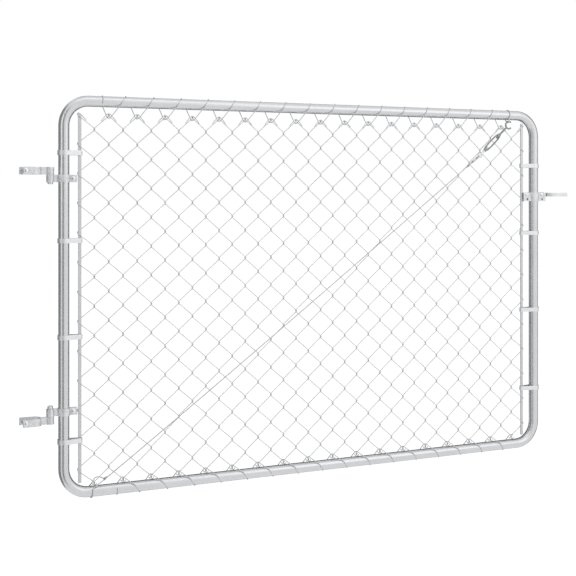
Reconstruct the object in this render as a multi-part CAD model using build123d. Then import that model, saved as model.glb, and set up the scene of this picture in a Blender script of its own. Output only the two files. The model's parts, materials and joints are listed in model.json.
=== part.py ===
from build123d import *
import math
import os

os.makedirs("parts", exist_ok=True)

# A chain link walk gate with its post hinges and its fork latch. All sizes are in millimetres.
# The origin is on the hinge post's axis, half way up the lower post clamp.
# +X runs from the hinge side to the latch side, +Y away from the viewer, +Z up.

# Frame: one round tube bent into a loop
tube_od = 31.75
tube_wall = 1.65
frame_width = 1709.0
frame_height = 1169.0
bend_radius = 73.0

# Where the leaf hangs from the post
post_od = 41.3
pin_offset = 49.7
hinge_reach = 39.6
clamp_above_rail = 217.0
clamp_spacing = 716.75

# Hinge straps, pins and clamp bolts
strap_height = 21.5
strap_thickness = 3.0
pin_od = 16.0
pin_clearance = 0.25
hinge_face_gap = 0.4
pin_above_eye = 9.0
pin_below_eye = 6.0
pin_cap_round = 3.0
clamp_play = 0.1
post_arm_length = 34.3
post_bolt_margin = 0.85
gate_ear_reach = 23.0
gate_ear_gap = 3.0
gate_bolt_out = 12.0
bolt_od = 8.0
bolt_hole_play = 0.3
bolt_head_od = 18.0
bolt_head_height = 5.0
bolt_tip = 3.0
nut_flats = 12.7
nut_height = 6.5

# Woven wire: a diamond is two pitches wide and two pitches high
wire = 2.6
layer_offset = 3.1
diamond_width = 87.7
diamond_height = 86.0
mesh_side_inset_hinge = 47.3
mesh_side_inset_latch = 51.05
mesh_above_bottom_rail = 23.0
mesh_below_top_rail = 39.25
mesh_panels = 4
loop_rise = 1.6
knuckle_overrun = 1.85

# Tension bars and the straps that hold them, placed in mesh rows from the nearer end
bar_width = 9.5
bar_thickness = 3.2
hinge_bar_top_overrun = 2.0
latch_bar_top_overrun = 12.0
bar_foot_gap = 5.0
seat_gap = 0.3
band_height = 14.0
band_thickness = 2.2
band_play = 0.2
band_nose_gap = 0.55
hinge_bands_from_top = (2.6, 8.51)
hinge_bands_from_foot = (10.0, 3.0)
latch_bands_from_top = (3.12, 8.57)
latch_bands_from_foot = (10.23, 3.88)

# Tie wire wound round both rails
tie_wire = 2.4
tie_turn_sides = 8
tie_pull = 7.0
tie_front_start = 33.0
tie_back_end = 17.0
tie_ring_span = 6.0

# Fork latch
latch_height = 30.0
latch_above_rail = 855.5
latch_ear_reach = 47.0
latch_ear_gap = 9.4
latch_bolt_out = 31.5
pivot_below_top = 7.5
padlock_below_pivot = 16.0
padlock_hole_od = 8.0
fork_height = 12.7
fork_thickness = 4.0
fork_post_play = 1.35
fork_reach = 96.0
fork_boss_od = 18.0
fork_web_gap = 4.5

# Truss cable with its turnbuckle, in front of the woven wire
cable_od = 3.2
cable_ring_out = 34.9
cable_foot_out = 72.9
cable_foot_rise = 10.0
cable_sag = 6.0
cable_sag_share = 0.44
hook_from_latch_bar = 61.0
hook_below_top_rail = 34.0
eye_before_hook = 120.0
eye_below_hook = 106.0
ring_play = 0.3
clip_count = 3
clip_length = 6.5
clip_width = 7.5
clip_depth = 5.0
clip_spacing = 22.0
clip_gap = 15.0
turnbuckle_from_eye = 24.0
turnbuckle_length = 87.0
turnbuckle_width = 18.0
turnbuckle_end_width = 11.0
turnbuckle_taper = 15.0
turnbuckle_rail = 5.0
turnbuckle_thickness = 8.0
turnbuckle_end = 12.0
thread_od = 6.0
thread_tail = 7.0
eye_inner_od = 9.0
eye_wire = 4.5
hook_inner_od = 19.5
hook_wire = 5.5
hook_mouth = 18.0

# Places worked out from the sizes above
tube_r = tube_od / 2
post_r = post_od / 2
pin_r = pin_od / 2
bolt_r = bolt_od / 2
half_wire = wire / 2
mesh_half_depth = layer_offset + half_wire
hinge_tube_x = pin_offset + hinge_reach
latch_tube_x = hinge_tube_x + frame_width - tube_od
bottom_rail_z = -clamp_above_rail
top_rail_z = bottom_rail_z + frame_height - tube_od
hinge_bar_x = hinge_tube_x + mesh_side_inset_hinge
latch_bar_x = latch_tube_x - mesh_side_inset_latch
mesh_bottom_z = bottom_rail_z + mesh_above_bottom_rail
mesh_top_z = top_rail_z - mesh_below_top_rail
mesh_columns = 2 * round((latch_bar_x - hinge_bar_x) / diamond_width)
# An odd number of rows, so that the side loops keep their place from either end
mesh_rows = 2 * round((mesh_top_z - mesh_bottom_z) / diamond_height - 0.5) + 1
pitch_x = (latch_bar_x - hinge_bar_x) / mesh_columns
pitch_z = (mesh_top_z - mesh_bottom_z) / mesh_rows
slope = pitch_z / pitch_x
wire_half_rise = half_wire * math.hypot(1, slope)
loop_out = bar_width / 2 + seat_gap + half_wire
truss_y = -(mesh_half_depth + seat_gap + turnbuckle_thickness / 2)
turnbuckle_tilt = math.degrees(math.atan2(eye_below_hook, eye_before_hook))
cable_r = cable_od / 2
cable_ring_x = hinge_bar_x + cable_ring_out
cable_foot_x = hinge_bar_x + cable_foot_out
cable_foot_z = mesh_bottom_z + cable_foot_rise
hook_x = latch_bar_x - hook_from_latch_bar
hook_z = top_rail_z - hook_below_top_rail
eye_x = hook_x - eye_before_hook
eye_z = hook_z - eye_below_hook
post_bolt_out = post_r + bolt_r + post_bolt_margin
gate_bolt_x = hinge_tube_x + tube_r + gate_bolt_out
upper_clamp_z = clamp_spacing
lower_eye_z = strap_height / 2 + hinge_face_gap
upper_eye_z = upper_clamp_z - strap_height / 2 - hinge_face_gap - strap_height
latch_top_z = bottom_rail_z + latch_above_rail + latch_height / 2
pivot_z = latch_top_z - pivot_below_top
padlock_z = pivot_z - padlock_below_pivot


def save(node, shape):
    """Write one sub-part as a STEP file named after its node."""
    export_step(shape, f"parts/{node}.step")


def prism(points, normal, depth):
    """A closed polygon pushed along a direction."""
    face = Face(Wire.make_polygon([Vector(*p) for p in points], close=True))
    return Solid.extrude(face, Vector(*normal) * depth)


def slab(sketch, z_low, height):
    """A plan outline raised between two heights."""
    return extrude(Pos(0, 0, z_low) * sketch, height)


def cross_rod(x, z, y_front, y_back, diameter):
    """A round rod along Y."""
    rod = Cylinder(diameter / 2, y_back - y_front)
    return Pos(x, (y_front + y_back) / 2, z) * Rot(90, 0, 0) * rod


def box_between(x0, x1, y0, y1):
    """A plan rectangle given by its sides."""
    return Pos((x0 + x1) / 2, (y0 + y1) / 2) * Rectangle(x1 - x0, y1 - y0)


def tube_run(start, direction, length):
    """A straight length of the frame tube."""
    plane = Plane(origin=start, z_dir=direction)
    ring = Circle(tube_r) - Circle(tube_r - tube_wall)
    return extrude(plane * ring, length)


def tube_bend(centre, start_angle):
    """A quarter turn of the frame tube about a line along Y."""
    ring = Circle(tube_r) - Circle(tube_r - tube_wall)
    section = Plane.XY * Pos(bend_radius, 0) * ring
    bend = revolve(section, Axis.Y, 90)
    return Pos(*centre) * Rot(0, start_angle, 0) * bend


def frame_tube():
    """The bent tube loop: four straight runs and four quarter turns."""
    left, right = hinge_tube_x, latch_tube_x
    low, high = bottom_rail_z, top_rail_z
    run_x = right - left - 2 * bend_radius
    run_z = high - low - 2 * bend_radius
    pieces = [
        tube_run((left, 0, low + bend_radius), (0, 0, 1), run_z),
        tube_run((right, 0, low + bend_radius), (0, 0, 1), run_z),
        tube_run((left + bend_radius, 0, low), (1, 0, 0), run_x),
        tube_run((left + bend_radius, 0, high), (1, 0, 0), run_x),
        tube_bend((right - bend_radius, 0, low + bend_radius), 0),
        tube_bend((left + bend_radius, 0, low + bend_radius), 90),
        tube_bend((left + bend_radius, 0, high - bend_radius), 180),
        tube_bend((right - bend_radius, 0, high - bend_radius), 270),
    ]
    return pieces[0].fuse(*pieces[1:])


def node_x(column):
    return hinge_bar_x + column * pitch_x


def node_z(row):
    return mesh_top_z - row * pitch_z


def wire_run(x0, z0, x1, z1, y_mid):
    """A slanting run of wire with upright ends, in the front or the back layer."""
    y0 = y_mid - half_wire
    corners = [
        (x0, y0, z0 - wire_half_rise),
        (x1, y0, z1 - wire_half_rise),
        (x1, y0, z1 + wire_half_rise),
        (x0, y0, z0 + wire_half_rise),
    ]
    return prism(corners, (0, 1, 0), wire)


def weave_joint(column, row):
    """The short bend where the front and the back layer hook together."""
    x, z = node_x(column), node_z(row)
    half_x = wire_half_rise / slope
    inner = layer_offset - half_wire
    corners = [
        (x - half_x, -inner, z),
        (x, -inner, z - wire_half_rise),
        (x + half_x, -inner, z),
        (x, -inner, z + wire_half_rise),
    ]
    return prism(corners, (0, 1, 0), 2 * inner)


def edge_loop(row, side):
    """The wire's turn round a tension bar: side is -1 at the hinge side, 1 at the latch side."""
    column = 0 if side < 0 else mesh_columns
    x_turn = node_x(column) + side * loop_out
    x_near = node_x(column - side)
    z = node_z(row)
    pieces = []
    if row > 0:
        pieces.append(wire_run(x_near, node_z(row - 1), x_turn, z + loop_rise, -side * layer_offset))
    if row < mesh_rows:
        pieces.append(wire_run(x_turn, z - loop_rise, x_near, node_z(row + 1), side * layer_offset))
    upper_y = -side * mesh_half_depth
    turn = prism(
        [
            (x_turn - half_wire, upper_y, z + loop_rise - wire_half_rise),
            (x_turn - half_wire, upper_y, z + loop_rise + wire_half_rise),
            (x_turn - half_wire, -upper_y, z - loop_rise + wire_half_rise),
            (x_turn - half_wire, -upper_y, z - loop_rise - wire_half_rise),
        ],
        (1, 0, 0),
        wire,
    )
    pieces.append(turn)
    return pieces


def clipped_run(start, end, x_low, x_high, y_mid):
    """The part of a diagonal run that lies between two upright planes, or nothing."""
    (x0, z0), (x1, z1) = start, end
    if x0 > x1:
        x0, z0, x1, z1 = x1, z1, x0, z0
    low, high = max(x0, x_low), min(x1, x_high)
    if high - low < wire:
        return []
    rise = (z1 - z0) / (x1 - x0)
    return [wire_run(low, z0 + rise * (low - x0), high, z0 + rise * (high - x0), y_mid)]


def diagonal(total, kind):
    """Ends of one full diagonal, cut short of the side columns, run over at the knuckles."""
    if kind > 0:
        first = max(1, total)
        last = min(mesh_columns - 1, mesh_rows + total)
        rows = (first - total, last - total)
    else:
        first = max(1, total - mesh_rows)
        last = min(mesh_columns - 1, total)
        rows = (total - first, total - last)
    if last < first:
        return None
    ends = []
    for column, row, outward in ((first, rows[0], -1), (last, rows[1], 1)):
        over = knuckle_overrun if row in (0, mesh_rows) else 0.0
        x = node_x(column) + outward * over
        z = node_z(row) - kind * outward * over * slope
        ends.append((x, z))
    return ends


def mesh_panel(index):
    """One upright strip of the woven wire, fused where the layers hook together."""
    per_panel = mesh_columns / mesh_panels
    x_low = node_x(index * per_panel + 0.5) if index > 0 else node_x(0) - loop_out
    x_high = node_x((index + 1) * per_panel + 0.5)
    if index == mesh_panels - 1:
        x_high = node_x(mesh_columns) + loop_out
    pieces = []
    for kind, totals in ((1, range(-mesh_rows, mesh_columns)), (-1, range(1, mesh_columns + mesh_rows))):
        for total in totals:
            ends = diagonal(total, kind) if total % 2 == 0 else None
            if ends:
                pieces += clipped_run(*ends, x_low, x_high, -kind * layer_offset)
    for column in range(1, mesh_columns):
        if x_low < node_x(column) < x_high:
            pieces += [weave_joint(column, row) for row in range(mesh_rows + 1) if (row + column) % 2 == 0]
    for side, here in ((-1, index == 0), (1, index == mesh_panels - 1)):
        if here:
            for row in range(0, mesh_rows + 1, 2):
                pieces += edge_loop(row, side)
    return pieces[0].fuse(*pieces[1:])


def tension_bar(x, top_overrun):
    """The flat bar threaded through the end loops of the wire."""
    low = mesh_bottom_z + bar_foot_gap
    high = mesh_top_z + top_overrun
    return Pos(x, 0, (low + high) / 2) * Box(bar_width, bar_thickness, high - low)


def tension_band(tube_x, bar_x, z_mid):
    """A closed strap round the frame tube and the tension bar."""
    side = 1 if bar_x > tube_x else -1
    nose_r = mesh_half_depth + seat_gap
    nose_x = bar_x + side * (bar_width / 2 + band_nose_gap - nose_r)
    inner_r = tube_r + band_play
    inner = make_hull((Pos(tube_x, 0) * Circle(inner_r) + Pos(nose_x, 0) * Circle(nose_r)).edges())
    outer = make_hull(
        (
            Pos(tube_x, 0) * Circle(inner_r + band_thickness)
            + Pos(nose_x, 0) * Circle(nose_r + band_thickness)
        ).edges()
    )
    return slab(outer - inner, z_mid - band_height / 2, band_height)


def post_strap(z_mid):
    """The strap that clamps the post and carries the hinge pin in its eye."""
    web_in = post_r + clamp_play
    web_out = web_in + strap_thickness
    eye_out = pin_r + clamp_play + strap_thickness
    web = Circle(web_out) - box_between(-web_out, 0, -web_out, web_out)
    arms = box_between(-post_arm_length, 0, -web_out, web_out)
    neck = box_between(web_in, pin_offset, -strap_thickness, strap_thickness)
    eye = Pos(pin_offset, 0) * Circle(eye_out)
    inside = Circle(web_in) + box_between(-post_arm_length, 0, -web_in, web_in)
    plan = web + arms + neck + eye - inside - Pos(pin_offset, 0) * Circle(pin_r + clamp_play)
    strap = slab(plan, z_mid - strap_height / 2, strap_height)
    hole = cross_rod(-post_bolt_out, z_mid, -2 * web_out, 2 * web_out, bolt_od + bolt_hole_play)
    return strap - hole


def gate_strap(z_low):
    """The strap that turns on the pin, wraps the frame tube and ends in two ears."""
    wrap_in = tube_r + clamp_play
    wrap_out = wrap_in + strap_thickness
    eye_in = pin_r + pin_clearance
    ear_x = hinge_tube_x + tube_r + gate_ear_reach
    ear_y = gate_ear_gap / 2 + strap_thickness
    wrap = Pos(hinge_tube_x, 0) * Circle(wrap_out)
    neck = box_between(pin_offset, hinge_tube_x, -strap_thickness, strap_thickness)
    ears = box_between(hinge_tube_x, ear_x, -ear_y, ear_y)
    eye = Pos(pin_offset, 0) * Circle(eye_in + strap_thickness)
    slot = box_between(hinge_tube_x, ear_x, -gate_ear_gap / 2, gate_ear_gap / 2)
    bores = Pos(hinge_tube_x, 0) * Circle(wrap_in) + Pos(pin_offset, 0) * Circle(eye_in)
    plan = wrap + neck + ears + eye - slot - bores
    strap = slab(plan, z_low, strap_height)
    hole = cross_rod(gate_bolt_x, z_low + strap_height / 2, -2 * ear_y, 2 * ear_y, bolt_od + bolt_hole_play)
    return strap - hole


def hinge_pin(z_clamp, up):
    """The round pin from the post strap's eye through the gate strap's eye."""
    stand_out = pin_above_eye if up > 0 else pin_below_eye
    length = 2 * strap_height + hinge_face_gap + stand_out
    start = z_clamp - up * strap_height / 2
    pin = Pos(pin_offset, 0, start + up * length / 2) * Cylinder(pin_r, length)
    tip = pin.edges().sort_by(Axis.Z)[-1 if up > 0 else 0]
    return fillet(tip, pin_cap_round)


def carriage_bolt(x, z, grip):
    """A domed bolt with its nut, along Y, through plates whose outer faces are a grip apart."""
    half_grip = grip / 2
    tail = half_grip + nut_height + bolt_tip
    head_r = bolt_head_od / 2
    dome_r = (head_r ** 2 + bolt_head_height ** 2) / (2 * bolt_head_height)
    rim_angle = math.degrees(math.asin((dome_r - bolt_head_height) / dome_r))
    dome = Sphere(dome_r, arc_size1=rim_angle, align=(Align.CENTER, Align.CENTER, Align.MIN))
    head = Pos(0, -half_grip, 0) * Rot(90, 0, 0) * dome
    shank = Pos(0, (tail - half_grip) / 2, 0) * Rot(90, 0, 0) * Cylinder(bolt_r, tail + half_grip)
    hexagon = Rot(90, 0, 0) * RegularPolygon(nut_flats / 2, 6, major_radius=False)
    nut = extrude(Pos(0, half_grip, 0) * hexagon, nut_height, dir=(0, 1, 0))
    return Pos(x, 0, z) * (head + shank + nut)


def latch_half(side):
    """One of the two pressed halves of the latch collar: side is -1 in front, 1 behind."""
    wrap_in = tube_r + clamp_play
    wrap_out = wrap_in + strap_thickness
    gap_half = latch_ear_gap / 2
    outer_y = gap_half + strap_thickness
    wrap = Pos(latch_tube_x, 0) * Circle(wrap_out)
    ears = box_between(latch_tube_x - latch_ear_reach, latch_tube_x + latch_ear_reach, -outer_y, outer_y)
    keep = Pos(latch_tube_x, side * (gap_half + wrap_out)) * Rectangle(2 * latch_ear_reach, 2 * wrap_out)
    plan = ((wrap + ears) & keep) - Pos(latch_tube_x, 0) * Circle(wrap_in)
    half = slab(plan, latch_top_z - latch_height, latch_height)
    for out in (-latch_bolt_out, latch_bolt_out):
        x = latch_tube_x + out
        half -= cross_rod(x, pivot_z, -2 * outer_y, 2 * outer_y, bolt_od + bolt_hole_play)
        half -= cross_rod(x, padlock_z, -2 * outer_y, 2 * outer_y, padlock_hole_od)
    return half


def latch_fork():
    """A strap on edge, pinched into a double tang at the pivot and spread to straddle a post."""
    bore_r = post_r + fork_post_play
    out_r = bore_r + fork_thickness
    pivot_x = latch_tube_x + latch_bolt_out
    web_x = latch_tube_x + latch_ear_reach + fork_web_gap
    crook_x = web_x + out_r
    tip_x = pivot_x + fork_reach
    crook = Pos(crook_x, 0) * Circle(out_r)
    tines = box_between(crook_x, tip_x, -out_r, out_r)
    tang = box_between(pivot_x, crook_x, -fork_thickness, fork_thickness)
    space = Pos(crook_x, 0) * Circle(bore_r) + box_between(crook_x, tip_x, -bore_r, bore_r)
    fork = slab(crook + tines + tang - space, pivot_z - fork_height / 2, fork_height)
    boss = cross_rod(pivot_x, pivot_z, -fork_thickness, fork_thickness, fork_boss_od)
    hole = cross_rod(pivot_x, pivot_z, -2 * fork_thickness, 2 * fork_thickness, bolt_od + bolt_hole_play)
    return fork + boss - hole


def tie_turn(x_start, span, rail_z, away):
    """Corner points of one wrap round a rail, from its front over the far side to its back."""
    corner = tie_wire / math.sqrt(2) + seat_gap
    turn_r = (tube_r + corner) / math.cos(math.pi / tie_turn_sides)
    corners = tie_turn_sides - 2
    points = []
    for number in range(corners):
        share = number / (corners - 1)
        angle = (share - 0.5) * (corners - 1) * 2 * math.pi / tie_turn_sides
        y = turn_r * math.sin(angle)
        z = rail_z + away * turn_r * math.cos(angle)
        points.append((x_start + span * share, y, z))
    return points


def tie_points(rail_z, knuckle_z, knuckles):
    """Corner points of the wire that binds some columns' knuckles to a rail, one wrap for each diamond."""
    pass_y = mesh_half_depth + tie_wire / math.sqrt(2) + seat_gap
    away = 1 if rail_z > knuckle_z else -1
    step = 2 * pitch_x
    span = step - tie_front_start - tie_back_end
    first_x = node_x(knuckles[0])
    points = tie_turn(first_x - tie_back_end - tie_ring_span, tie_ring_span, rail_z, away)
    for column in knuckles:
        x = node_x(column)
        points.append((x - tie_wire, pass_y, knuckle_z))
        points.append((x + tie_wire, -pass_y, knuckle_z))
        if column != knuckles[-1]:
            points += tie_turn(x + tie_front_start, span, rail_z, away)
    return points


def tie_wire_on(rail_z, knuckle_z, knuckles):
    """One square-section wire swept along its corner points."""
    path = Polyline(*tie_points(rail_z, knuckle_z, knuckles))
    start = path @ 0
    section = Plane(origin=start, z_dir=path % 0) * Rectangle(tie_wire, tie_wire)
    return sweep(section, path=path, transition=Transition.RIGHT)


def rail_ring(x, rail_z):
    """A turn of cable round a rail."""
    inner = tube_r + ring_play
    ring = Circle(inner + cable_od) - Circle(inner)
    return extrude(Pos(x - cable_r, 0, rail_z) * Rot(0, 90, 0) * ring, cable_od)


def cable_sag_point():
    """Where the cable hangs lowest below the straight line from its foot to its eye."""
    x = cable_foot_x + cable_sag_share * (eye_x - cable_foot_x)
    z = cable_foot_z + cable_sag_share * (eye_z - cable_foot_z) - cable_sag
    return Vector(x, truss_y, z)


def cable_end():
    """The direction of the cable at the turnbuckle's eye, pointing down along it."""
    return (cable_sag_point() - Vector(eye_x, truss_y, eye_z)).normalized()


def truss_cable():
    """The cable from its turn round the bottom rail to the turnbuckle's eye."""
    ring_r = tube_r + ring_play + cable_r
    ring_top = bottom_rail_z + math.sqrt(ring_r ** 2 - truss_y ** 2)
    end_gap = eye_inner_od / 2 + eye_wire + seat_gap
    points = [
        Vector(cable_ring_x, truss_y, ring_top),
        Vector(cable_foot_x, truss_y, cable_foot_z),
        cable_sag_point(),
        Vector(eye_x, truss_y, eye_z) + cable_end() * end_gap,
    ]
    path = Polyline(*points)
    section = Plane(origin=path @ 0, z_dir=path % 0) * Circle(cable_r)
    run = sweep(section, path=path, transition=Transition.RIGHT)
    return run + rail_ring(cable_ring_x, bottom_rail_z)


def cable_clips():
    """The clamps on the cable below the turnbuckle."""
    down = cable_end()
    tilt = math.degrees(math.atan2(-down.Z, -down.X))
    block = Box(clip_length, clip_depth, clip_width)
    block -= Rot(0, 90, 0) * Cylinder(cable_r + clamp_play, 2 * clip_length)
    clips = []
    for number in range(clip_count):
        place = Vector(eye_x, truss_y, eye_z) + down * (clip_gap + number * clip_spacing)
        clips.append(Pos(place.X, place.Y, place.Z) * Rot(0, -tilt, 0) * block)
    return Compound(children=clips)


def top_ring():
    """The turn of cable round the top rail that hangs down into the hook."""
    inner_r = tube_r + ring_play
    low_r = hook_wire / 2 + seat_gap
    low_z = hook_z + hook_inner_od / 2 + hook_wire / 2
    rail_place = Pos(0, top_rail_z)
    hook_place = Pos(truss_y, low_z)
    hulls = []
    for grow in (0, cable_od):
        circles = rail_place * Circle(inner_r + grow) + hook_place * Circle(low_r + grow)
        hulls.append(make_hull(circles.edges()))
    ring = Plane.YZ.offset(hook_x - cable_r) * (hulls[1] - hulls[0])
    return extrude(ring, cable_od)


def on_turnbuckle(shape, along):
    """A shape modelled along X, moved onto the turnbuckle's axis, from the eye towards the hook."""
    line = Vector(eye_before_hook, 0, eye_below_hook).normalized()
    return Pos(eye_x + line.X * along, truss_y, eye_z + line.Z * along) * Rot(0, -turnbuckle_tilt, 0) * shape


def turnbuckle_body():
    """Two side rails between threaded ends, open in the middle and narrower at both ends."""
    half = turnbuckle_length / 2
    shoulder = half - turnbuckle_taper
    side, end = turnbuckle_width / 2, turnbuckle_end_width / 2
    corners = [(-half, -end), (-shoulder, -side), (shoulder, -side), (half, -end)]
    corners += [(-x, -z) for x, z in corners]
    outline = Plane.XZ.offset(-turnbuckle_thickness / 2) * Polygon(*corners, align=None)
    body = extrude(outline, turnbuckle_thickness)
    window_x = turnbuckle_length - 2 * turnbuckle_end
    window = Box(window_x, 2 * turnbuckle_thickness, turnbuckle_width - 2 * turnbuckle_rail)
    bore = Rot(0, 90, 0) * Cylinder(thread_od / 2 + clamp_play, 2 * turnbuckle_length)
    return on_turnbuckle(body - window - bore, turnbuckle_from_eye + half)


def eye_bolt():
    """The threaded rod with the eye that the cable holds."""
    ring_mid = (eye_inner_od + eye_wire) / 2
    ring = Rot(90, 0, 0) * Torus(ring_mid, eye_wire / 2)
    tail = turnbuckle_from_eye + turnbuckle_end + thread_tail
    rod = Pos((ring_mid + tail) / 2, 0, 0) * Rot(0, 90, 0) * Cylinder(thread_od / 2, tail - ring_mid)
    return on_turnbuckle(ring + rod, 0)


def hook_bolt():
    """The threaded rod with the open hook that holds the turn of cable on the top rail."""
    reach = math.hypot(eye_before_hook, eye_below_hook)
    ring_mid = (hook_inner_od + hook_wire) / 2
    ring = Rot(90, 0, 0) * Torus(ring_mid, hook_wire / 2)
    mouth = Rot(0, turnbuckle_tilt, 0) * Pos(ring_mid, 0, 0) * Box(2 * ring_mid, 2 * hook_wire, hook_mouth)
    tail = reach - turnbuckle_from_eye - turnbuckle_length + turnbuckle_end + thread_tail
    rod = Pos(-(ring_mid + tail) / 2, 0, 0) * Rot(0, 90, 0) * Cylinder(thread_od / 2, tail - ring_mid)
    return on_turnbuckle((ring - mouth) + rod, reach)


# Post hinges
save("lower_post_strap", post_strap(0))
save("upper_post_strap", post_strap(upper_clamp_z))
save("lower_hinge_pin", hinge_pin(0, 1))
save("upper_hinge_pin", hinge_pin(upper_clamp_z, -1))
post_grip = 2 * (post_r + clamp_play + strap_thickness)
save("lower_post_bolt", carriage_bolt(-post_bolt_out, 0, post_grip))
save("upper_post_bolt", carriage_bolt(-post_bolt_out, upper_clamp_z, post_grip))

# Gate leaf
save("frame_tube", frame_tube())
for number in range(mesh_panels):
    save(f"mesh_panel_{number + 1}", mesh_panel(number))
save("hinge_side_tension_bar", tension_bar(hinge_bar_x, hinge_bar_top_overrun))
save("latch_side_tension_bar", tension_bar(latch_bar_x, latch_bar_top_overrun))
hinge_band_rows = [*hinge_bands_from_top, *(mesh_rows - row for row in hinge_bands_from_foot)]
latch_band_rows = [*latch_bands_from_top, *(mesh_rows - row for row in latch_bands_from_foot)]
for number, row in enumerate(hinge_band_rows):
    save(f"hinge_side_band_{number + 1}", tension_band(hinge_tube_x, hinge_bar_x, node_z(row)))
for number, row in enumerate(latch_band_rows):
    save(f"latch_side_band_{number + 1}", tension_band(latch_tube_x, latch_bar_x, node_z(row)))
gate_grip = gate_ear_gap + 2 * strap_thickness
save("lower_gate_strap", gate_strap(lower_eye_z))
save("upper_gate_strap", gate_strap(upper_eye_z))
save("lower_gate_bolt", carriage_bolt(gate_bolt_x, lower_eye_z + strap_height / 2, gate_grip))
save("upper_gate_bolt", carriage_bolt(gate_bolt_x, upper_eye_z + strap_height / 2, gate_grip))
# The top knuckles sit on the even columns and the bottom knuckles on the odd ones
top_knuckles = range(2, mesh_columns - 1, 2)
bottom_knuckles = range(3, mesh_columns, 2)
save("top_tie_wire", tie_wire_on(top_rail_z, mesh_top_z - tie_pull, top_knuckles))
save("bottom_tie_wire", tie_wire_on(bottom_rail_z, mesh_bottom_z + tie_pull, bottom_knuckles))
save("truss_cable", truss_cable())
save("cable_clips", cable_clips())
save("cable_top_ring", top_ring())
save("turnbuckle_body", turnbuckle_body())
save("turnbuckle_eye_bolt", eye_bolt())
save("turnbuckle_hook_bolt", hook_bolt())

# Fork latch
latch_grip = latch_ear_gap + 2 * strap_thickness
save("latch_collar_front", latch_half(-1))
save("latch_collar_back", latch_half(1))
save("latch_collar_bolt", carriage_bolt(latch_tube_x - latch_bolt_out, pivot_z, latch_grip))
save("latch_pivot_bolt", carriage_bolt(latch_tube_x + latch_bolt_out, pivot_z, latch_grip))
save("latch_fork", latch_fork())
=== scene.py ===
import json
import math

import bpy
import numpy as np
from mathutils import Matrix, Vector


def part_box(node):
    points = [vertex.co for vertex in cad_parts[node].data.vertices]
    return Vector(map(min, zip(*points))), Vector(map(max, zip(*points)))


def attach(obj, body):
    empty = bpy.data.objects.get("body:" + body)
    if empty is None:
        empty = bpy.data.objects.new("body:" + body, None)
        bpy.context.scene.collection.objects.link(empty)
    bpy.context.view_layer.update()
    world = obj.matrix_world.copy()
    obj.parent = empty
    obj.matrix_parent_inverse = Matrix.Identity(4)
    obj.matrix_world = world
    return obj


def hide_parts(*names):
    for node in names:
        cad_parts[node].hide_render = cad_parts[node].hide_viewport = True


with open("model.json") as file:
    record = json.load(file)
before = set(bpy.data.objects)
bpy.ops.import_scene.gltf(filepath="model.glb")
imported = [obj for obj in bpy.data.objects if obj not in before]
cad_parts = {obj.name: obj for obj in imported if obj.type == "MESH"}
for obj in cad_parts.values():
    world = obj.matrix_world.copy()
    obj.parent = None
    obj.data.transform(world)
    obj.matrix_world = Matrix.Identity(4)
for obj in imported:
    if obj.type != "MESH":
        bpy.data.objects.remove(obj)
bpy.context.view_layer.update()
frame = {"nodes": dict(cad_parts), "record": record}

# Looks of a chain link walk gate. Everything is in metres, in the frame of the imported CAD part:
# +X runs from the hinge side to the latch side, +Y away from the viewer, +Z up. Named angles are
# in degrees.

# Woven wire: each wire is a flat spiral that hooks into its neighbours once in every diamond.
# ROWS counts half diamonds from the top knuckles down to the bottom ones.
WIRE_R = 0.0013
WIRE_SIDES = 8
WIRE_GROUPS = 4
WEAVE_HALF = 0.0031
WEAVE_STEPS = 8
HOOK_DEPTH = 0.0014
HOOK_RISE = 0.0044
DIAMOND_WIDTH = 0.0877
DIAMOND_HEIGHT = 0.086
ROWS = 25
BAR_SIDE_GAP = 0.0016
BAR_FOOT_GAP = 0.005

# The wires' cut ends, folded back beside their legs at the knuckles. A tail's first point lies down
# the leg by a share of the tail's lift, and the other three by shares of its length.
KNUCKLE_TOP_TAIL = 0.033
KNUCKLE_TOP_LIFT = 0.0046
KNUCKLE_FOOT_TAIL = 0.008
KNUCKLE_FOOT_LIFT = 0.0026
TAIL_START_SHARE = 0.7
TAIL_DOWN_SHARES = (0.35, 0.80, 1.0)
TAIL_LIFT_SHARES = (0.45, 0.90, 0.80, 0.55)

# Tie wire wound round both rails. It passes each knuckle from the far side to the near side.
TIE_R = 0.0012
TIE_SIDES = 10
TIE_GAP = 0.0004
TIE_PULL = 0.007
TIE_FRONT_START = 0.033
TIE_BACK_END = 0.017
TIE_RING_SPAN = 0.006
TIE_HALF_TURN = 112
TIE_ARC_STEPS = 12
TIE_PASS_HALF = 2.4 * TIE_R
TIE_PASS_SHARES = (-1, -0.6, 0, 0.6, 1)
TIE_DIP = 0.0016

# Truss cable: six strands laid round a core, from its turn round the bottom rail to the eye
CABLE_R = 0.0016
STRANDS = 6
STRAND_R = CABLE_R / 3
STRAND_LAY = 0.026
STRAND_STEP = 0.0026
STRAND_SIDES = 6
CABLE_FOOT_OUT = 0.0729
CABLE_FOOT_RISE = 0.010
CABLE_SAG = 0.006
SAG_SKEW = math.log(0.5) / math.log(0.44)
CABLE_STEPS = 16
CABLE_TAIL = 0.070
CLIPPED_MARGIN = 1.2
FOOT_WAY_SHARE = 0.02
EYE_WAY_SHARE = 0.9
EYE_PLAY = 0.0001

# The cable's foot: a bowed tail, as points behind and above the clip there, and then the turn round
# the bottom rail, which the cable leaves at WRAP_LEAVES
FOOT_BOW = ((0.007, 0.0045), (0.018, 0.009), (0.030, 0.007), (0.0375, -0.004))
FOOT_TAIL = 0.009
CABLE_RING_OUT = 0.0349
RING_PLAY = 0.0003
WRAP_LEAVES = 150
WRAP_TURN = 290
WRAP_LEAD = 0.0042
WRAP_STEPS = 20

# The ring of cable that holds the hook to the top rail
RING_SLANT = 0.004
RING_RAIL_STEPS = 10
RING_HOOK_STEPS = 8

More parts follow.
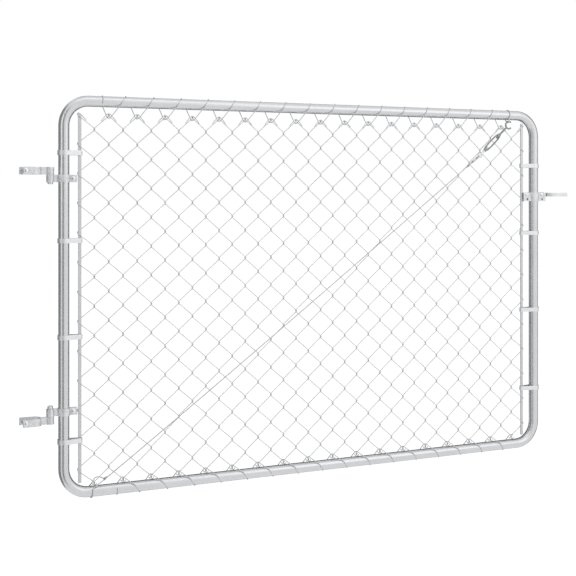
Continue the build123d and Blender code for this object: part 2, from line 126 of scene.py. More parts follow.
# Cable clips, at distances from the eye down the cable. The squeeze is a clip's outline along it.
CLIP_GAP = 0.015
CLIP_SPACING = 0.022
CLIP_COUNT = 3
CLIP_LENGTH = 0.0065
CLIP_WIDTH = 0.0075
CLIP_DEPTH = 0.0050
CLIP_SIDES = 20
CLIP_SQUEEZE = (0.82, 0.97, 1.0, 0.88, 1.0, 1.0, 0.88, 1.0, 0.97, 0.82)

# Turnbuckle body: two side rails between two bosses. Shares are of the boss's length or radius.
BODY_START = 0.024
BODY_LENGTH = 0.087
BODY_HALF_WIDTH = 0.009
BODY_HALF_DEPTH = 0.004
BODY_END_R = 0.0055
BODY_END = 0.012
BODY_TAPER = 0.015
RAIL_R = 0.0025
RAIL_HALF_DEPTH = 0.0034
RAIL_END_SHARE = 0.35
RAIL_SIDES = 14
RAIL_STEP = 0.002
BOSS_CHAMFER = 0.0008
BOSS_MOUTH_SHARE = 0.84
BOSS_FULL_SHARE = 0.6
BOSS_NECK_SHARE = 0.9
BOSS_SIDES = 28

# Turnbuckle eye and hook, with their rods
EYE_OUTER_R = 0.009
EYE_WIRE_R = 0.00225
EYE_STEPS = 40
EYE_THREAD_FROM = 0.6 * BODY_START
HOOK_OUTER_R = 0.01525
HOOK_WIRE_R = 0.00275
HOOK_MOUTH_HALF = 46
HOOK_STEPS = 36
HOOK_TIP_SHARE = 0.75
HOOK_THREAD_FROM = 1.3 * HOOK_OUTER_R
LOOP_SIDES = 16
ROD_R = 0.003
ROD_OVERLAP = 0.007
ROD_CHAMFER = 0.0006
ROD_TIP_SHARE = 0.8
ROD_SIDES = 24

# Threads on the turnbuckle's rods and on the bolts' tips
ROD_PITCH = 0.0010
BOLT_R = 0.004
BOLT_TIP = 0.003
BOLT_PITCH = 0.00125
THREAD_DEPTH = 0.0005
THREAD_PROUD = 0.00015
THREAD_SIDES = 20
THREAD_STEPS = 8

# Edges are drawn sharp from these angles, on machined pieces and on round wire
SHARP_EDGE = 40
ROUND_EDGE = 60

# Where a path starts nearly upright, by the sine of its angle, or a thread runs mostly along X, by
# the cosine, its first direction across is taken from another axis
NEARLY_UPRIGHT = 0.1
MOSTLY_ALONG_X = 0.5

# What all kinds of zinc share. Green is above red by ZINC_BLUE, and blue above green by as much.
# NOISE_LOW and NOISE_HIGH are the part of a texture's range that is spread over a finish.
ZINC_BLUE = 0.01
NOISE_LOW = 0.3
NOISE_HIGH = 0.7
BLOTCH_SHARE = 0.65
GRAIN_SCALE = 900.0
GRAIN_DEPTH = 0.0004

# Floor and room
WHITE = (1, 1, 1, 1)
FLOOR_HALF = 60.0
FLOOR_DROP = 0.002
PAPER_COLOR = (0.9, 0.9, 0.9, 1)
PAPER_ROUGHNESS = 0.9
FLOOR_GLOW = 1.08
FLOOR_GLOW_SHARE = 0.90
ROOM_FILL = (0.85, 0.85, 0.86, 1)

# Dark cards, outside the swing of the leaf, that glow dimly for mirror rays only: painted dark
# reflections on the tubes' edges. A corner, the two edges that leave it, and the card's grey
CARDS = {
    "left_card": ((-2.27, -0.46, -2.4), (1.66, 2.76, 0), (0, 0, 5.6), 0.30),
    "right_card": ((3.6, 4.0, -3.0), (3.0, -4.0, 0), (0, 0, 7.0), 0.06),
    "front_left_card": ((-1.65, -1.65, -1.8), (1.22, -0.69, 0), (0, 0, 4.2), 0.28),
    "inner_card": ((0.45, 2.20, -0.60), (3.6, 0, 0), (0, 0, 1.9), 0.10),
    "upper_card": ((0.3, 2.2, 1.30), (4.6, 0, 0), (0, -0.1, 1.7), 0.10),
    "lower_card": ((0.3, 2.2, -0.95), (4.6, 0, 0), (0, -0.1, -1.7), 0.10),
}

# Lamps: place, width and height, and power in watts
LAMPS = {
    "key": ((3.2, -3.0, 2.2), (2.4, 3.2), 12),
    "fill": ((-2.6, -2.6, 1.6), (2.0, 2.4), 8),
    "top": ((0.8, -1.6, 3.4), (2.4, 1.2), 5),
}

# The photograph's camera, which stands level
CAMERA_PLACE = (-0.8492, -3.3922, 0.6582)
CAMERA_LEVEL = 90
CAMERA_TURN = -26.065
CAMERA_LENS = 74.9
CAMERA_SENSOR = 36.0
CAMERA_SHIFT = -0.1681

nodes = frame["nodes"]


def box_of(name):
    """Lowest and highest corner of a CAD node as arrays."""
    low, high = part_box(name)
    return np.array(low), np.array(high)


# Places worked out from the CAD part

lowest_z = min(box_of(name)[0][2] for name in nodes)
tube_low, tube_high = box_of("frame_tube")
leaf_middle = (tube_low + tube_high) / 2
tube_r = (tube_high[1] - tube_low[1]) / 2
bottom_rail_z = tube_low[2] + tube_r
top_rail_z = tube_high[2] - tube_r
hinge_bar_low, hinge_bar_high = box_of("hinge_side_tension_bar")
latch_bar_low, latch_bar_high = box_of("latch_side_tension_bar")
hinge_bar_x = (hinge_bar_low[0] + hinge_bar_high[0]) / 2
latch_bar_x = (latch_bar_low[0] + latch_bar_high[0]) / 2
bar_half = (hinge_bar_high[0] - hinge_bar_low[0]) / 2
columns = 2 * round((latch_bar_x - hinge_bar_x) / DIAMOND_WIDTH)
pitch_x = (latch_bar_x - hinge_bar_x) / columns
pitch_z = DIAMOND_HEIGHT / 2
mesh_bottom_z = hinge_bar_low[2] - BAR_FOOT_GAP
mesh_top_z = mesh_bottom_z + ROWS * pitch_z


# Mesh tools

def unit(v):
    """A vector at length one."""
    return v / np.linalg.norm(v)


def travelling_frames(p, closed=False):
    """Two directions across a path at each of its points, which don't twist along it."""
    ahead = np.roll(p, -1, 0) - p
    behind = p - np.roll(p, 1, 0)
    if not closed:
        ahead[-1] = behind[-1]
        behind[0] = ahead[0]
    ahead /= np.linalg.norm(ahead, axis=1)[:, None]
    behind /= np.linalg.norm(behind, axis=1)[:, None]
    tangent = ahead + behind
    tangent /= np.linalg.norm(tangent, axis=1)[:, None]
    normal = np.cross(tangent[0], (0.0, 0.0, 1.0))
    if np.linalg.norm(normal) < NEARLY_UPRIGHT:
        normal = np.cross(tangent[0], (0.0, 1.0, 0.0))
    normals = []
    for way in tangent:
        normal = unit(normal - way * np.dot(normal, way))
        normals.append(normal)
    normals = np.array(normals)
    return normals, np.cross(tangent, normals)


def circle(sides):
    """Evenly spaced angles round a circle, in radians."""
    return np.arange(sides) * 2 * math.pi / sides


def skin(rings, closed=False):
    """Faces over a row of rings with as many points each, closed by a face at both ends.

    Each ring runs counter-clockwise about the direction of travel, so that the faces look out."""
    count, sides = rings.shape[:2]
    faces = []
    for i in range(count if closed else count - 1):
        here = i * sides
        there = ((i + 1) % count) * sides
        for k in range(sides):
            k2 = (k + 1) % sides
            faces.append((here + k, here + k2, there + k2, there + k))
    if not closed:
        faces.append(tuple(range(sides - 1, -1, -1)))
        faces.append(tuple(range((count - 1) * sides, count * sides)))
    return rings.reshape(-1, 3), faces


def sweep(points, radius, sides, closed=False):
    """A round tube along a path, as vertices and faces."""
    p = np.asarray(points, float)
    normals, across = travelling_frames(p, closed)
    radii = np.broadcast_to(np.asarray(radius, float), (len(p),))[:, None, None]
    angles = circle(sides)[None, :, None]
    around = np.cos(angles) * normals[:, None] + np.sin(angles) * across[:, None]
    return skin(p[:, None] + radii * around, closed)


def smooth(points, step):
    """A curve through points, in about equal short steps."""
    p = np.asarray(points, float)
    ends = np.vstack([2 * p[0] - p[1], p, 2 * p[-1] - p[-2]])
    curve = []
    for a, b, c, d in zip(ends[:-3], ends[1:-2], ends[2:-1], ends[3:]):
        before, here, after = (math.sqrt(np.linalg.norm(v)) for v in (b - a, c - b, d - c))
        leave = ((b - a) / before - (c - a) / (before + here) + (c - b) / here) * here
        arrive = ((c - b) / here - (d - b) / (here + after) + (d - c) / after) * here
        count = max(2, math.ceil(np.linalg.norm(c - b) / step))
        for t in np.arange(count) / count:
            curve.append((2 * t ** 3 - 3 * t ** 2 + 1) * b + (t ** 3 - 2 * t ** 2 + t) * leave
                         + (3 * t ** 2 - 2 * t ** 3) * c + (t ** 3 - t ** 2) * arrive)
    curve.append(p[-1])
    return np.array(curve)


def rope(points):
    """Strands laid round a core along a smooth curve through points."""
    path = smooth(points, STRAND_STEP)
    normals, across = travelling_frames(path)
    steps = np.linalg.norm(np.diff(path, axis=0), axis=1)
    length = np.concatenate([[0], np.cumsum(steps)])
    parts = [sweep(path, STRAND_R, STRAND_SIDES)]
    for strand in range(STRANDS):
        angle = 2 * math.pi * (strand / STRANDS + length / STRAND_LAY)
        out = np.cos(angle)[:, None] * normals + np.sin(angle)[:, None] * across
        parts.append(sweep(path + (CABLE_R - STRAND_R) * out, STRAND_R, STRAND_SIDES))
    return joined(parts)


def lathe(start, direction, profile, sides, depth_share=1.0):
    """A turned form along a line in the plane of the leaf, which can be flattened along Y.

    The profile's rows are distance and radius."""
    along = np.asarray(direction, float)
    up = np.cross(along, (0.0, 1.0, 0.0))
    deep = np.array([0.0, -depth_share, 0.0])
    angles = circle(sides)
    around = np.outer(np.cos(angles), up) + np.outer(np.sin(angles), deep)
    return skin(np.array([np.asarray(start) + along * s + around * r for s, r in profile]))


def thread(start, direction, length, radius, pitch):
    """A screw thread along a line, with its ridge just proud of the rod."""
    along = np.asarray(direction, float)
    beside = (1.0, 0.0, 0.0) if abs(along[0]) < MOSTLY_ALONG_X else (0.0, 1.0, 0.0)
    one = unit(np.cross(along, beside))
    two = np.cross(along, one)
    share = np.arange(THREAD_SIDES) / THREAD_SIDES
    turn = share * 2 * math.pi
    around = np.outer(np.cos(turn), one) + np.outer(np.sin(turn), two)
    rings = []
    for s in np.linspace(0, length, math.ceil(length / pitch * THREAD_STEPS) + 1):
        ridge = np.abs(2 * ((s / pitch - share) % 1) - 1)
        fade = min(1.0, s / pitch, (length - s) / pitch)
        radii = radius + THREAD_PROUD * fade - THREAD_DEPTH * (1 - ridge * fade)
        rings.append(np.asarray(start) + along * s + around * radii[:, None])
    return skin(np.array(rings))


def joined(parts):
    """Several vertex and face lists as one."""
    verts, faces, base = [], [], 0
    for v, f in parts:
        verts.append(v)
        faces += [tuple(i + base for i in face) for face in f]
        base += len(v)
    return np.vstack(verts), faces


def add_piece(name, part, material, body, replaced=(), sharp=SHARP_EDGE):
    """A mesh object that rides on a body, with its finish and the CAD nodes that it stands for."""
    verts, faces = part
    mesh = bpy.data.meshes.new(name)
    mesh.from_pydata(verts.tolist(), [], faces)
    mesh.update()
    mesh.polygons.foreach_set("use_smooth", [True] * len(mesh.polygons))
    mesh.set_sharp_from_angle(angle=math.radians(sharp))
    mesh.materials.append(material)
    piece = bpy.data.objects.new(name, mesh)
    bpy.context.scene.collection.objects.link(piece)
    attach(piece, body)
    if replaced:
        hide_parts(*replaced)


# Materials

def new_material(name):
    """A node material and its node tree."""
    material = bpy.data.materials.new(name)
    material.use_nodes = True
    return material, material.node_tree


def new_node(tree, kind, inputs):
    """A shader node whose inputs are set to values or linked to other nodes' outputs."""
    node = tree.nodes.new(kind)
    for name, value in inputs.items():
        if isinstance(value, bpy.types.NodeSocket):
            tree.links.new(value, node.inputs[name])
        else:
            node.inputs[name].default_value = value
    return node


def zinc_color(grey):
    """A grey with the slight blue of zinc."""
    return grey, grey + ZINC_BLUE, grey + 2 * ZINC_BLUE, 1


def zinc(name, greys, roughness, spangle, blotch, grain):
    """Galvanized steel: zinc crystals, dull blotches and a fine grain.

    greys and roughness are ranges, spangle and blotch count crystals and blotches in a metre."""
    material, tree = new_material(name)
    shader = tree.nodes["Principled BSDF"]
    shader.inputs["Metallic"].default_value = 1.0
    place = tree.nodes.new("ShaderNodeTexCoord").outputs["Object"]
    crystals = new_node(tree, "ShaderNodeTexVoronoi",
                        {"Vector": place, "Scale": spangle, "Randomness": 1.0})
    patches = new_node(tree, "ShaderNodeTexNoise",
                       {"Vector": place, "Scale": blotch, "Detail": 4.0, "Roughness": 0.6})
    facets = new_node(tree, "ShaderNodeSeparateColor", {"Color": crystals.outputs["Color"]})
    blend = new_node(tree, "ShaderNodeMix", {
        "Factor": BLOTCH_SHARE, "A": facets.outputs["Red"], "B": patches.outputs["Fac"]})
    shades = new_node(tree, "ShaderNodeValToRGB", {"Fac": blend.outputs["Result"]})
    for stop, position, grey in zip(shades.color_ramp.elements, (NOISE_LOW, NOISE_HIGH), greys):
        stop.position = position
        stop.color = zinc_color(grey)
    dulling = new_node(tree, "ShaderNodeMapRange", {
        "Value": patches.outputs["Fac"], "From Min": NOISE_LOW, "From Max": NOISE_HIGH,
        "To Min": roughness[0], "To Max": roughness[1]})
    fine = new_node(tree, "ShaderNodeTexNoise",
                    {"Vector": place, "Scale": GRAIN_SCALE, "Detail": 3.0})
    bump = new_node(tree, "ShaderNodeBump", {
        "Height": fine.outputs["Fac"], "Strength": grain, "Distance": GRAIN_DEPTH})
    tree.links.new(shades.outputs["Color"], shader.inputs["Base Color"])
    tree.links.new(dulling.outputs["Result"], shader.inputs["Roughness"])
    tree.links.new(bump.outputs["Normal"], shader.inputs["Normal"])
    return material


tube_zinc = zinc("tube_zinc", (0.60, 0.65), (0.24, 0.30), spangle=240.0, blotch=9.0, grain=0.02)
wire_zinc = zinc("wire_zinc", (0.62, 0.72), (0.60, 0.70), spangle=500.0, blotch=40.0, grain=0.02)
tie_zinc = zinc("tie_zinc", (0.54, 0.66), (0.38, 0.48), spangle=500.0, blotch=60.0, grain=0.03)
bar_zinc = zinc("bar_zinc", (0.52, 0.62), (0.40, 0.50), spangle=300.0, blotch=30.0, grain=0.05)
strip_zinc = zinc("strip_zinc", (0.68, 0.78), (0.40, 0.50), spangle=300.0, blotch=30.0, grain=0.05)
cast_zinc = zinc("cast_zinc", (0.62, 0.78), (0.48, 0.60), spangle=300.0, blotch=45.0, grain=0.12)
forged_zinc = zinc("forged_zinc", (0.24, 0.38), (0.40, 0.52), spangle=400.0, blotch=60.0,
                   grain=0.12)
bolt_zinc = zinc("bolt_zinc", (0.66, 0.82), (0.24, 0.36), spangle=700.0, blotch=80.0, grain=0.05)
cable_zinc = zinc("cable_zinc", (0.50, 0.66), (0.36, 0.50), spangle=800.0, blotch=90.0, grain=0.08)

BY_SLOT = {
    "frame_tube": tube_zinc,
    "mesh_wire": wire_zinc,
    "tie_wire": tie_zinc,
    "bars_and_bands": strip_zinc,
    "fasteners": bolt_zinc,
    "cable": cable_zinc,
    "hinge_and_latch_strap": cast_zinc,
}


def dress_cad_nodes():
    """Every CAD node gets the zinc of its material slot, and the tension bars a duller one."""
    for row in frame["record"]["subparts"]:
        mesh = nodes[row["node"]].data
        mesh.materials.clear()
        bar = row["node"].endswith("tension_bar")
        mesh.materials.append(bar_zinc if bar else BY_SLOT[row["material_slot"]])


# Woven wire

def node_point(column, row):
    """The x and z where wires hook together, counted from the hinge side and from the top."""
    return hinge_bar_x + column * pitch_x, mesh_top_z - row * pitch_z


def turn_of(index, row):
    """The column where a wire turns at a row, and the side to which it bulges there."""
    return (index, -1) if (index + row) % 2 == 0 else (index + 1, 1)


def hook_points(column, row, side):
    """A wire's turn at one node, where it passes the weave's middle plane.

    side is 1 where it bulges towards +X. Round the tension bars it reaches further."""
    x, z = node_point(column, row)
    reach = bar_half + BAR_SIDE_GAP if column in (0, columns) else HOOK_DEPTH
    points = []
    for i in range(WEAVE_STEPS + 1):
        angle = math.pi * (i / WEAVE_STEPS - 0.5)
        out = x + side * (reach - WEAVE_HALF + WEAVE_HALF * math.cos(angle))
        points.append((out, side * WEAVE_HALF * math.sin(angle), z - HOOK_RISE * math.sin(angle)))
    return points


def knuckle_tail(turn, first, length, gap, leg_end):
    """The cut end of a wire, folded back beside its own leg at the wire's first or last turn.

    gap is the tail's lift off the leg, and leg_end is the x and z where that leg ends."""
    side = -1 if first else 1
    tip = np.array(turn[0] if first else turn[-1])
    leg = unit(np.array([leg_end[0] - tip[0], 0.0, leg_end[1] - tip[2]]))
    lift = np.array([0.0, 0.0, -side * gap])
    downs = [gap * TAIL_START_SHARE] + [length * share for share in TAIL_DOWN_SHARES]
    tail = [tuple(tip + lift * out + leg * down) for out, down in zip(TAIL_LIFT_SHARES, downs)]
    return tail[::-1] if first else tail


def picket(index):
    """One wire of the weave from the top knuckle to the bottom knuckle."""
    turns = []
    for row in range(ROWS + 1):
        column, side = turn_of(index, row)
        turns.append(hook_points(column, row, side))
    top_leg = node_point(turn_of(index, 1)[0], 1)
    foot_leg = node_point(turn_of(index, ROWS - 1)[0], ROWS - 1)
    points = knuckle_tail(turns[0], True, KNUCKLE_TOP_TAIL, KNUCKLE_TOP_LIFT, top_leg)
    for turn in turns:
        points += turn
    points += knuckle_tail(turns[-1], False, KNUCKLE_FOOT_TAIL, KNUCKLE_FOOT_LIFT, foot_leg)
    return points


def add_woven_wire():
    """The weave in groups of wires, one for each CAD panel."""
    per_group = columns // WIRE_GROUPS
    for group in range(WIRE_GROUPS):
        first = group * per_group
        wires = [sweep(picket(first + i), WIRE_R, WIRE_SIDES) for i in range(per_group)]
        add_piece(f"woven_wire_{group + 1}", joined(wires), wire_zinc, "gate_leaf",
                  [f"mesh_panel_{group + 1}"], ROUND_EDGE)


# Tie wires

def tie_turn(x, span, rail_z, away):
    """One turn of the tie wire over the far side of a rail."""
    turn_r = tube_r + TIE_R + TIE_GAP
    half_turn = math.radians(TIE_HALF_TURN)
    points = []
    for i in range(TIE_ARC_STEPS + 1):
        share = i / TIE_ARC_STEPS
        angle = (2 * share - 1) * half_turn
        points.append((x + span * share, turn_r * math.sin(angle),
                       rail_z + away * turn_r * math.cos(angle)))
    return points


def tie_path(rail_z, knuckle_z, knuckles):
    """The tie wire: a tight turn, then past each column's knuckle and over the rail to the next."""
    away = 1 if rail_z > knuckle_z else -1
    pass_y = WEAVE_HALF + WIRE_R + TIE_R + TIE_GAP
    span = 2 * pitch_x - TIE_FRONT_START - TIE_BACK_END
    first_x = hinge_bar_x + knuckles[0] * pitch_x
    points = tie_turn(first_x - TIE_BACK_END - TIE_RING_SPAN, TIE_RING_SPAN, rail_z, away)
    for column in knuckles:
        x = hinge_bar_x + column * pitch_x
        for share in TIE_PASS_SHARES:
            dip = TIE_DIP * (1 - share * share)
            points.append((x + TIE_PASS_HALF * share, -pass_y * share, knuckle_z - away * dip))
        if column != knuckles[-1]:
            points += tie_turn(x + TIE_FRONT_START, span, rail_z, away)
    return points


def add_tie_wires():
    """One tie wire for the top knuckles, at even columns, and one for the bottom ones, at odd."""
    for name, node, rail_z, knuckle_z, knuckles in (
            ("tie_wire_on_top_rail", "top_tie_wire", top_rail_z, mesh_top_z - TIE_PULL,
             range(2, columns - 1, 2)),
            ("tie_wire_on_bottom_rail", "bottom_tie_wire", bottom_rail_z,
             mesh_bottom_z + TIE_PULL, range(3, columns, 2))):
        wire = sweep(tie_path(rail_z, knuckle_z, knuckles), TIE_R, TIE_SIDES)
        add_piece(name, wire, tie_zinc, "gate_leaf", [node], ROUND_EDGE)


# Truss cable and turnbuckle

eye_low, eye_high = box_of("turnbuckle_eye_bolt")
ring_low, ring_high = box_of("cable_top_ring")
hook_top_z = box_of("turnbuckle_hook_bolt")[1][2]
truss_y = (eye_low[1] + eye_high[1]) / 2
eye = np.array([eye_low[0] + EYE_OUTER_R, truss_y, eye_low[2] + EYE_OUTER_R])
hook = np.array([(ring_low[0] + ring_high[0]) / 2, truss_y, hook_top_z - HOOK_OUTER_R])
eye_mid_r = EYE_OUTER_R - EYE_WIRE_R
hook_mid_r = HOOK_OUTER_R - HOOK_WIRE_R
rod_reach = np.linalg.norm(hook - eye)
rod_way = (hook - eye) / rod_reach
foot = np.array([hinge_bar_x + CABLE_FOOT_OUT, truss_y, mesh_bottom_z + CABLE_FOOT_RISE])


def cable_at(share):
    """A point of the hanging cable between its foot and the eye."""
    rank = share ** SAG_SKEW
    sag = 4 * CABLE_SAG * rank * (1 - rank)
    return foot + share * (eye - foot) - np.array([0.0, 0.0, sag])


foot_way = unit(cable_at(FOOT_WAY_SHARE) - foot)
foot_up = np.cross(foot_way, (0.0, 1.0, 0.0))
foot_up *= np.sign(foot_up[2])
clip_at_foot = foot + foot_up * CABLE_R
cable_down = unit(cable_at(EYE_WAY_SHARE) - eye)
cable_up = np.cross((0.0, 1.0, 0.0), cable_down)


def beside_eye(down, out=0.0, forward=0.0):
    """A point near the eye: down the cable, out across it, and forward of its plane."""
    return eye + cable_down * down + cable_up * out - np.array([0.0, forward, 0.0])


def cable_route():
    """From the foot's clip back round the bottom rail, up to the eye, through it and back."""
    wrap_r = tube_r + RING_PLAY + CABLE_R
    beside = foot + 2 * CABLE_R * foot_up
    points = [tuple(beside + FOOT_TAIL * foot_way), tuple(beside)]
    points += [(foot[0] - back, truss_y, foot[2] + rise) for back, rise in FOOT_BOW]
    for degrees in np.linspace(WRAP_LEAVES + WRAP_TURN, WRAP_LEAVES, WRAP_STEPS):
        angle = math.radians(degrees)
        x = hinge_bar_x + CABLE_RING_OUT - (degrees - WRAP_LEAVES) / 360 * WRAP_LEAD
        points.append((x, wrap_r * math.cos(angle), bottom_rail_z + wrap_r * math.sin(angle)))
    hanging = 1 - CLIPPED_MARGIN * CABLE_TAIL / np.linalg.norm(eye - foot)
    points += [tuple(cable_at(share)) for share in np.linspace(0, hanging, CABLE_STEPS)]
    loop_r = EYE_WIRE_R + CABLE_R + EYE_PLAY
    near_clip = CLIP_GAP - CLIP_LENGTH / 2
    points.append(tuple(beside_eye(CABLE_TAIL - CLIP_LENGTH, CABLE_R)))
    points.append(tuple(beside_eye(near_clip, CABLE_R)))
    points.append(tuple(beside_eye(eye_mid_r, CABLE_R / 2, loop_r)))
    points.append(tuple(beside_eye(eye_mid_r - loop_r)))
    points.append(tuple(beside_eye(eye_mid_r, -CABLE_R / 2, -loop_r)))
    points.append(tuple(beside_eye(near_clip, -CABLE_R)))
    points.append(tuple(beside_eye(CABLE_TAIL, -CABLE_R)))
    return points


def top_ring_route():
    """Round the top rail and under the hook's wire, as a tight loop that leans a little."""
    big = tube_r + RING_PLAY + CABLE_R
    small = HOOK_WIRE_R + RING_PLAY + CABLE_R
    rail = np.array([0.0, top_rail_z])
    held = np.array([truss_y, hook[2] + hook_mid_r])
    gap = held - rail
    heading = math.atan2(gap[1], gap[0])
    spread = math.acos((big - small) / np.linalg.norm(gap))
    points = []
    for centre, radius, start, end, steps in (
            (rail, big, math.pi, 2 * math.pi - spread, RING_RAIL_STEPS),
            (held, small, -spread, spread, RING_HOOK_STEPS),
            (rail, big, spread, math.pi, RING_RAIL_STEPS)):
        for angle in heading + np.linspace(start, end, steps):
            y, z = centre + radius * np.array([math.cos(angle), math.sin(angle)])
            points.append((hook[0] + RING_SLANT * (z - top_rail_z) / (2 * big), y, z))
    return points


def sleeve(centre, way):
    """A pressed clip round the cable, squeezed twice across its length."""
    stations = np.linspace(-CLIP_LENGTH / 2, CLIP_LENGTH / 2, len(CLIP_SQUEEZE))
    profile = [(s, CLIP_WIDTH / 2 * share) for s, share in zip(stations, CLIP_SQUEEZE)]
    return lathe(centre, way, profile, CLIP_SIDES, CLIP_DEPTH / CLIP_WIDTH)


def add_truss():
    """The cable with its clips, three at the eye and one at the foot, and the top rail's ring."""
    add_piece("stranded_truss_cable", rope(cable_route()), cable_zinc, "gate_leaf",
              ["truss_cable"], ROUND_EDGE)
    add_piece("stranded_top_ring", rope(top_ring_route()), strip_zinc, "gate_leaf",
              ["cable_top_ring"], ROUND_EDGE)
    clips = [sleeve(beside_eye(CLIP_GAP + i * CLIP_SPACING), cable_down)
             for i in range(CLIP_COUNT)]
    clips.append(sleeve(clip_at_foot, foot_way))
    add_piece("pressed_clips", joined(clips), forged_zinc, "gate_leaf",
              ["cable_clips"])


def turnbuckle_rail(side):
    """One of the two side rails, from boss to boss."""
    half = BODY_HALF_WIDTH - RAIL_R
    near = BODY_END_R - RAIL_R
    inner = BODY_END * RAIL_END_SHARE
    stations = ((inner, near), (BODY_TAPER, half),
                (BODY_LENGTH - BODY_TAPER, half), (BODY_LENGTH - inner, near))
    across = np.cross(rod_way, (0.0, 1.0, 0.0))
    points = [eye + rod_way * (BODY_START + s) + across * side * w for s, w in stations]
    verts, faces = sweep(smooth(points, RAIL_STEP), RAIL_R, RAIL_SIDES)
    verts[:, 1] = truss_y + (verts[:, 1] - truss_y) * RAIL_HALF_DEPTH / RAIL_R
    return verts, faces


def turnbuckle_boss(start, way):
    """A round threaded end, swelling into the rails."""
    profile = [(0, BODY_END_R * BOSS_MOUTH_SHARE), (BOSS_CHAMFER, BODY_END_R),
               (BODY_END * BOSS_FULL_SHARE, BODY_END_R), (BODY_END, BODY_END_R * BOSS_NECK_SHARE)]
    return lathe(start, way, profile, BOSS_SIDES, BODY_HALF_DEPTH / BODY_END_R)


def loop_points(centre, radius, turn):
    """Points of the eye's or the hook's loop, at angles in the plane of the leaf."""
    return [centre + radius * np.array([math.cos(a), 0.0, math.sin(a)]) for a in turn]


def rod_parts(start, way, stations, thread_from, length):
    """A plain rod through stations to its chamfered tip, and the thread over its last part."""
    profile = [(s, ROD_R) for s in (*stations, length - ROD_CHAMFER)]
    profile.append((length, ROD_R * ROD_TIP_SHARE))
    plain = lathe(start, way, profile, ROD_SIDES)
    return [plain, thread(start + way * thread_from, way, length - thread_from, ROD_R, ROD_PITCH)]


def add_turnbuckle():
    """The body, and the two rods with their eye, hook and threads."""
    low = eye + rod_way * BODY_START
    high = eye + rod_way * (BODY_START + BODY_LENGTH)
    body = [turnbuckle_rail(1), turnbuckle_rail(-1),
            turnbuckle_boss(low, rod_way), turnbuckle_boss(high, -rod_way)]
    add_piece("forged_turnbuckle_body", joined(body), forged_zinc, "gate_leaf",
              ["turnbuckle_body"])

    turn = np.linspace(0, 2 * math.pi, EYE_STEPS, endpoint=False)
    loop = sweep(loop_points(eye, eye_mid_r, turn), EYE_WIRE_R, LOOP_SIDES, closed=True)
    length = BODY_START + BODY_END + ROD_OVERLAP
    rod = rod_parts(eye, rod_way, (eye_mid_r, BODY_START), EYE_THREAD_FROM, length)
    add_piece("threaded_eye_rod", joined([loop, *rod]), bolt_zinc, "gate_leaf",
              ["turnbuckle_eye_bolt"])

    turn = np.radians(np.linspace(HOOK_MOUTH_HALF, 360 - HOOK_MOUTH_HALF, HOOK_STEPS))
    radii = np.full(len(turn), HOOK_WIRE_R)
    radii[[0, -1]] *= HOOK_TIP_SHARE
    loop = sweep(loop_points(hook, hook_mid_r, turn), radii, LOOP_SIDES)
    length = rod_reach - BODY_START - BODY_LENGTH + BODY_END + ROD_OVERLAP
    rod = rod_parts(hook, -rod_way, (hook_mid_r,), HOOK_THREAD_FROM, length)
    add_piece("threaded_hook_rod", joined([loop, *rod]), forged_zinc, "gate_leaf",
              ["turnbuckle_hook_bolt"])


def add_bolt_threads():
    """The thread on the tip of each bolt, beyond its nut."""
    for name, body, bolts in (
            ("post_bolt_threads", "post_hinges", ("lower_post_bolt", "upper_post_bolt")),
            ("leaf_bolt_threads", "gate_leaf",
             ("lower_gate_bolt", "upper_gate_bolt", "latch_collar_bolt", "latch_pivot_bolt"))):
        tips = []
        for bolt in bolts:
            low, high = box_of(bolt)
            start = np.array([(low[0] + high[0]) / 2, high[1] - BOLT_TIP, (low[2] + high[2]) / 2])
            tips.append(thread(start, (0.0, 1.0, 0.0), BOLT_TIP, BOLT_R, BOLT_PITCH))
        add_piece(name, joined(tips), bolt_zinc, body)


# Surroundings

def add_lamp(name, place, size, power):
    """A soft rectangular lamp turned towards the middle of the leaf."""
    light = bpy.data.lights.new(name, "AREA")
    light.shape = "RECTANGLE"
    light.size, light.size_y = size
    light.energy = power
    lamp = bpy.data.objects.new(name, light)
    lamp.location = place
    way = Vector(leaf_middle) - Vector(place)
    lamp.rotation_euler = way.to_track_quat("-Z", "Y").to_euler()
    bpy.context.scene.collection.objects.link(lamp)


def background_rays(tree):
    """1 for rays that show the background: camera, mirror and glass rays."""
    path = tree.nodes.new("ShaderNodeLightPath")
    total = path.outputs["Is Camera Ray"]
    for name in ("Is Glossy Ray", "Is Transmission Ray"):
        most = new_node(tree, "ShaderNodeMath", {0: total, 1: path.outputs[name]})
        most.operation = "MAXIMUM"
        total = most.outputs[0]
    return total


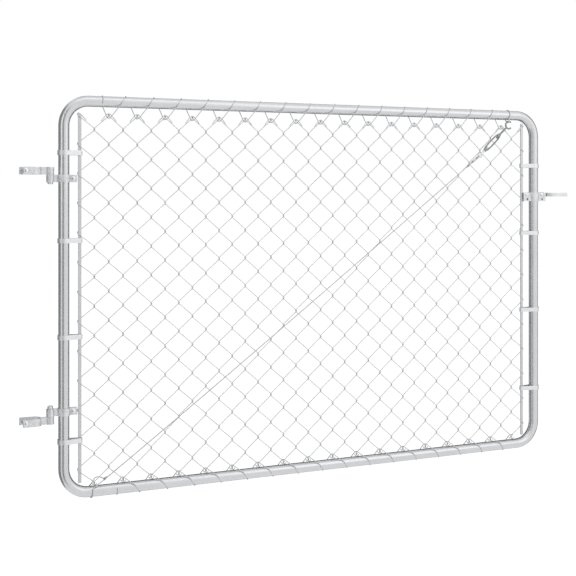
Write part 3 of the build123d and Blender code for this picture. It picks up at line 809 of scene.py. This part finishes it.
def add_floor():
    """A pale floor that keeps a soft shadow and that the metal doesn't mirror."""
    mesh = bpy.data.meshes.new("floor")
    half, z = FLOOR_HALF, lowest_z - FLOOR_DROP
    corners = [(-half, -half, z), (half, -half, z), (half, half, z), (-half, half, z)]
    mesh.from_pydata(corners, [], [(0, 1, 2, 3)])
    floor = bpy.data.objects.new("floor", mesh)
    bpy.context.scene.collection.objects.link(floor)
    material, tree = new_material("floor_paper")
    paper = tree.nodes["Principled BSDF"]
    paper.inputs["Base Color"].default_value = PAPER_COLOR
    paper.inputs["Roughness"].default_value = PAPER_ROUGHNESS
    glow = new_node(tree, "ShaderNodeEmission", {"Color": WHITE, "Strength": FLOOR_GLOW})
    share = new_node(tree, "ShaderNodeMath", {0: background_rays(tree), 1: FLOOR_GLOW_SHARE})
    share.operation = "MULTIPLY"
    mix = new_node(tree, "ShaderNodeMixShader", {
        "Fac": share.outputs[0], 1: paper.outputs["BSDF"], 2: glow.outputs["Emission"]})
    tree.links.new(mix.outputs["Shader"], tree.nodes["Material Output"].inputs["Surface"])
    mesh.materials.append(material)
    floor.visible_glossy = False


def add_world():
    """A white room for the eye and for the metal, with a plain grey fill light."""
    world = bpy.data.worlds.new("studio")
    bpy.context.scene.world = world
    world.use_nodes = True
    tree = world.node_tree
    fill = tree.nodes["Background"]
    fill.inputs["Color"].default_value = ROOM_FILL
    white = new_node(tree, "ShaderNodeBackground", {"Color": WHITE})
    mix = new_node(tree, "ShaderNodeMixShader", {
        "Fac": background_rays(tree), 1: fill.outputs["Background"],
        2: white.outputs["Background"]})
    tree.links.new(mix.outputs["Shader"], tree.nodes["World Output"].inputs["Surface"])


def add_card(name, corner, across, height, shade):
    """A dimly glowing card that only the metal's mirror rays see: a painted dark reflection."""
    mesh = bpy.data.meshes.new(name)
    a = Vector(corner)
    b = a + Vector(across)
    up = Vector(height)
    mesh.from_pydata([a, b, b + up, a + up], [], [(0, 1, 2, 3)])
    card = bpy.data.objects.new(name, mesh)
    bpy.context.scene.collection.objects.link(card)
    material, tree = new_material(name)
    glow = new_node(tree, "ShaderNodeEmission", {"Color": (shade, shade, shade, 1)})
    tree.links.new(glow.outputs["Emission"], tree.nodes["Material Output"].inputs["Surface"])
    mesh.materials.append(material)
    card.visible_camera = False
    card.visible_diffuse = False
    card.visible_shadow = False


def add_camera():
    """The photograph's camera, with its framing shift."""
    data = bpy.data.cameras.new("photo_camera")
    data.lens = CAMERA_LENS
    data.sensor_width = CAMERA_SENSOR
    data.shift_y = CAMERA_SHIFT
    camera = bpy.data.objects.new("photo_camera", data)
    camera.location = CAMERA_PLACE
    camera.rotation_euler = (math.radians(CAMERA_LEVEL), 0, math.radians(CAMERA_TURN))
    bpy.context.scene.collection.objects.link(camera)
    bpy.context.scene.camera = camera


dress_cad_nodes()
add_woven_wire()
add_tie_wires()
add_truss()
add_turnbuckle()
add_bolt_threads()
add_floor()
add_world()
for card_name, card in CARDS.items():
    add_card(card_name, *card)
for lamp_name, lamp_values in LAMPS.items():
    add_lamp(lamp_name, *lamp_values)
add_camera()
bpy.context.scene.view_settings.view_transform = "Standard"
